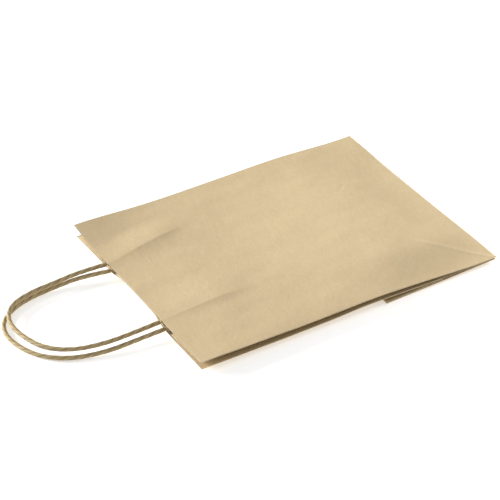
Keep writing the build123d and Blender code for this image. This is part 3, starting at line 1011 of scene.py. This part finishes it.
class BAG_OT_gussets(bpy.types.Operator):
    """Make the four halves of the side gussets"""

    bl_idname = "bag.gussets"
    bl_label = "Gussets"

    def execute(self, context):
        sizes = context.scene.bag_sizes
        for side, sign in (("left", -1), ("right", 1)):
            for half in ("back", "front"):
                node = f"{side}_gusset_{half}"
                low, high = cad_box(node)
                outer, inner = sorted((abs(low[1]), abs(high[1])), reverse=True)
                deep, along = sheet_grid(np.linspace(0, 1, 26), np.linspace(0, 1, 110))
                if sign > 0:
                    deep = deep[::-1]
                width = outer - inner
                end = high[0] - deep * (HALF_DEPTH - 2 * END_GAP)
                x = MOUTH_X + along * (end - MOUTH_X)
                y = sign * (outer - deep * width)
                low_face, high_face = ground(x, y, sizes), roof(x, y, sizes)
                room = (high_face - low_face) / 2 - LINK_GAP
                if half == "back":
                    z = low_face + LINK_GAP - FOLD_GAP + deep * room
                    link, tilt = BACK_LINK_Z, 1.0
                else:
                    z = high_face - LINK_GAP + FOLD_GAP - deep * room + PAPER
                    link, tilt = FRONT_LINK_Z, -1.0
                face = np.stack([x, y, z], axis=-1).transpose(1, 0, 2)
                wear = edge_wear_and_highlight(deep, x, (0.0, 1.0), (MOUTH_X,), 0.03).T
                normal = (0.0, sign * tilt * math.sin(GUSSET_TILT), math.cos(GUSSET_TILT))
                paper_piece(
                    node + "_sheet", shell(face, PAPER, wear), node, [node],
                    flatten=(normal, (0, sign * HALF_WIDTH, link)))
        return {"FINISHED"}


class BAG_OT_bottom(bpy.types.Operator):
    """Make the folded-under strip, the bottom's flaps and ears, and the gussets' triangles"""

    bl_idname = "bag.bottom"
    bl_label = "Folded bottom"

    def execute(self, context):
        across = np.linspace(-1, 1, 121)
        # The strip with its roll: over the crease line, round it, and along under the back panel.
        gap = BACK_CREASE_GAP
        outer = gap + PAPER
        turn = np.linspace(np.pi / 2, -np.pi / 2, 12)
        roll = np.stack([CREASE[0] + outer * np.cos(turn), CREASE[2] + outer * np.sin(turn)], axis=-1)
        lead = [[BACK_HIGH[0], BACK_INNER]]
        along = np.linspace(0.4, HALF_DEPTH - END_GAP, 40)
        run = strip_place(along, np.zeros_like(along), outer)[:, [0, 2]]
        profile = np.concatenate([lead, roll, run])
        y = across[None, :] * HALF_WIDTH * np.ones((len(profile), 1))
        wave = 0.04 * np.sin(profile[:, :1] / 7.0 + y / 31.0) * smooth((CREASE[0] - 4 - profile[:, :1]) / 12)
        face = np.stack([profile[:, :1] + 0 * y, y, profile[:, 1:] + wave], axis=-1)
        wear = edge_wear_and_highlight(face[..., 0], y, (CREASE[0] + outer,), (-HALF_WIDTH, HALF_WIDTH), 0.8)
        paper_across_fold(
            "back_strip_sheet", shell(face, PAPER, wear),
            ["back_panel_lower"])

        # The outer flap with its roll: from the strip's end, round the block line, and along the block.
        node_low = cad_box("bottom_outer_flap")[0]
        low_face = -(LINK_GAP + 3 * PAPER)
        top = BLOCK_DROP - gap
        centre, bulge = (top + low_face) / 2, ROLL_BULGE
        turn = np.linspace(np.pi / 2, -np.pi / 2, 12)
        roll = np.stack([
            BLOCK[0] - bulge * np.cos(turn), BLOCK[2] + centre + (top - centre) * np.sin(turn)], axis=-1)
        along = np.linspace(0.3, END_GAP + FLAP_DEPTH, 40)
        run = block_place(along, np.zeros_like(along), low_face)[:, [0, 2]]
        profile = np.concatenate([roll, run])
        reach = np.concatenate([np.zeros(12), along - END_GAP])
        y = -across[None, :] * (HALF_WIDTH - reach[:, None])
        face = np.stack([profile[:, :1] + 0 * y, y, profile[:, 1:] + 0 * y], axis=-1)
        wear = edge_wear_and_highlight(
            face[..., 0], np.abs(y) + reach[:, None], (BLOCK[0] - bulge, node_low[0] + FLAP_DEPTH),
            (HALF_WIDTH,), 0.9)
        paper_across_fold(
            "bottom_outer_flap_sheet", shell(face, PAPER, wear),
            ["bottom_outer_flap"])

        # The inner flap comes from the bottom edge, where it turns up towards the front panel. It is cut
        # short, so that it stays clear of the panel when the bag is open.
        far = 2 * HALF_DEPTH - END_GAP
        low_face = -(LINK_GAP + 2 * PAPER)
        along = np.concatenate([np.linspace(far - FLAP_DEPTH, far - INNER_FLAP_SHORT - 0.3, 40),
            np.full(3, far - INNER_FLAP_SHORT)])
        lift = np.concatenate([np.zeros(40), [0.1, 0.25, 0.4]])
        reach = far - along
        y = -across[None, :] * (HALF_WIDTH - reach[:, None])
        face = block_place(along[:, None] + 0 * y, y, low_face + lift[:, None] + 0 * y)
        wear = edge_wear_and_highlight(
            along[:, None] + 0 * y, np.abs(y) + reach[:, None], (far, far - FLAP_DEPTH), (HALF_WIDTH,), 0.9)
        paper_piece(
            "bottom_inner_flap_sheet", shell(face, PAPER, wear), "bottom_block",
            ["bottom_inner_flap"])

        for side, sign in (("left", -1), ("right", 1)):
            u, v = sheet_grid(np.linspace(END_GAP, 2 * HALF_DEPTH - END_GAP, 60), np.linspace(0, 1, 30))
            y = sign * HALF_WIDTH - v * sign * EAR_REACH
            if sign > 0:
                u, y = u[:, ::-1], y[:, ::-1]
            face = block_place(u, y, -LINK_GAP + 0.03 * np.sin(u / 9.0))
            wear = edge_wear_and_highlight(u, np.abs(y), (), (HALF_WIDTH, HALF_WIDTH - EAR_REACH), 0.8)
            paper_piece(
                f"bottom_ear_{side}_sheet", shell(face, PAPER, wear),
                "bottom_block", [f"bottom_infold_{side}"])

            low, high = cad_box(f"{side}_bottom_triangle")
            edge, apex = sorted((abs(low[1]), abs(high[1])), reverse=True)
            start = (low[0] - BLOCK[0]) / math.cos(BLOCK_ANGLE)
            u, v = sheet_grid(np.linspace(0, 1, 40), np.linspace(0, 0.99, 30))
            if sign > 0:
                v = v[:, ::-1]
            y = sign * (edge - v * (edge - apex))
            half_run = (HALF_DEPTH - start) * (1 - v)
            face = block_place(HALF_DEPTH + (2 * u - 1) * half_run, y, -FOLD_GAP)
            wear = edge_wear_and_highlight(u, v, (0.0, 1.0), (0.0,), 0.03)
            paper_piece(
                f"{side}_triangle_sheet", shell(face, PAPER, wear), f"{side}_bottom_triangle",
                [f"{side}_bottom_triangle"])

        low, high = cad_box("seam_lap_lower")
        u, y = sheet_grid(np.linspace(END_GAP, HALF_DEPTH - END_GAP, 24), np.linspace(low[1], high[1], 10))
        y = y[:, ::-1]
        face = strip_place(u, y, BACK_CREASE_GAP + 2 * PAPER + 0.01)
        face = face[:, ::-1]
        paper_piece(
            "seam_lap_lower_sheet", shell(face, PAPER, edge_wear_and_highlight(u, y, (), (low[1], high[1]), 0.6)),
            "back_strip", ["seam_lap_lower"])
        return {"FINISHED"}


class BAG_OT_patches(bpy.types.Operator):
    """Make the reinforcing patches over the handles' glued legs"""

    bl_idname = "bag.patches"
    bl_label = "Handle patches"

    def execute(self, context):
        sizes = context.scene.bag_sizes
        low_y, high_y = PATCH_LOW[1], PATCH_HIGH[1]
        rows = np.linspace(PATCH_LOW[0], PATCH_HIGH[0], 40)
        foot, crown, rise = CORD_RADIUS + 1.2, 0.75 * CORD_RADIUS, 2 * CORD_RADIUS + 0.06
        for panel, legs_y, surface, beside_leg, into in (
                ("front", FRONT_LEG_Y, roof, roof_over_leg, -1),
                ("back", BACK_LEG_Y, ground, ground_under_leg, 1)):
            body = f"{panel}_panel"
            flat_z = FRONT_INNER if into < 0 else BACK_INNER
            anchor = (0, 0, flat_z + into * PAPER)

            def face_at(x, y, depth, surface=surface):
                """The upper face of a sheet whose panel side lies that deep inside the panel."""
                upper = surface(x, y, sizes) + into * depth + (PAPER if into > 0 else 0.0)
                return np.stack([x, y, upper], axis=-1)

            x, y = sheet_grid(rows, np.linspace(low_y, high_y, 120))
            wear = edge_wear_and_highlight(x, y, (PATCH_LOW[0], PATCH_HIGH[0]), (low_y, high_y), 0.7)
            paper_piece(
                f"{panel}_patch_liner_sheet", shell(face_at(x, y, 0.01), PAPER, wear), body,
                [f"{panel}_patch_liner"],
                flatten=((0, 0, 1), anchor))

            flats = []
            stops = [low_y, legs_y[0] - foot, legs_y[0] + foot, legs_y[1] - foot, legs_y[1] + foot, high_y]
            for start, stop in zip(stops[::2], stops[1::2]):
                x, y = sheet_grid(rows, np.linspace(start, stop, max(int((stop - start) / 1.2), 4)))
                wear = edge_wear_and_highlight(x, y, (PATCH_LOW[0], PATCH_HIGH[0]), (low_y, high_y), 0.7)
                flats.append(shell(face_at(x, y, PAPER + 0.02), PAPER, wear))
            paper_piece(
                f"{panel}_patch_cover_flats", merged(*flats), body, [],
                flatten=((0, 0, 1), anchor))

            channels = []
            for leg in legs_y:
                x, y = sheet_grid(rows, leg + np.linspace(-foot, foot, 30))
                bump = rise * (1 - smooth((np.abs(y - leg) - crown) / (foot - crown)))
                bump = bump * (1 - smooth((x - LEG_IN - 0.6) / (PATCH_HIGH[0] - LEG_IN - 0.8)))
                face = face_at(x, y, PAPER + 0.02 + bump, beside_leg)
                channels.append(shell(face, PAPER, edge_wear_and_highlight(x, y, (PATCH_LOW[0],), (), 0.7)))
            paper_piece(
                f"{panel}_patch_cover_channels", merged(*channels), body, [f"{panel}_patch_cover"])
        return {"FINISHED"}


class BAG_PT_sidebar(bpy.types.Panel):
    """Sizes, finishes and building steps of the carrier bag"""

    bl_idname = "BAG_PT_sidebar"
    bl_label = "Carrier Bag"
    bl_space_type = "VIEW_3D"
    bl_region_type = "UI"
    bl_category = "Carrier Bag"

    def draw(self, context):
        for settings in (context.scene.bag_sizes, context.scene.bag_finishes):
            box = self.layout.box()
            for key in settings.__annotations__:
                box.prop(settings, key)
        for operator in OPERATORS:
            self.layout.operator(operator.bl_idname)


OPERATORS = (BAG_OT_stage, BAG_OT_handles, BAG_OT_panels, BAG_OT_gussets, BAG_OT_bottom, BAG_OT_patches)
CLASSES = (BagSizes, BagFinishes, *OPERATORS, BAG_PT_sidebar)


def register():
    """Registers the classes and hangs the settings on the scene."""
    for kind in CLASSES:
        bpy.utils.register_class(kind)
    bpy.types.Scene.bag_sizes = bpy.props.PointerProperty(type=BagSizes)
    bpy.types.Scene.bag_finishes = bpy.props.PointerProperty(type=BagFinishes)


def unregister():
    """Takes the settings off the scene and unregisters the classes."""
    del bpy.types.Scene.bag_finishes
    del bpy.types.Scene.bag_sizes
    for kind in reversed(CLASSES):
        bpy.utils.unregister_class(kind)


def main():
    """Builds the stage and every piece in order."""
    register()
    bpy.ops.bag.stage()
    bpy.ops.bag.handles()
    bpy.ops.bag.panels()
    bpy.ops.bag.gussets()
    bpy.ops.bag.bottom()
    bpy.ops.bag.patches()
    bpy.context.view_layer.update()


if __name__ == "__main__":
    main()
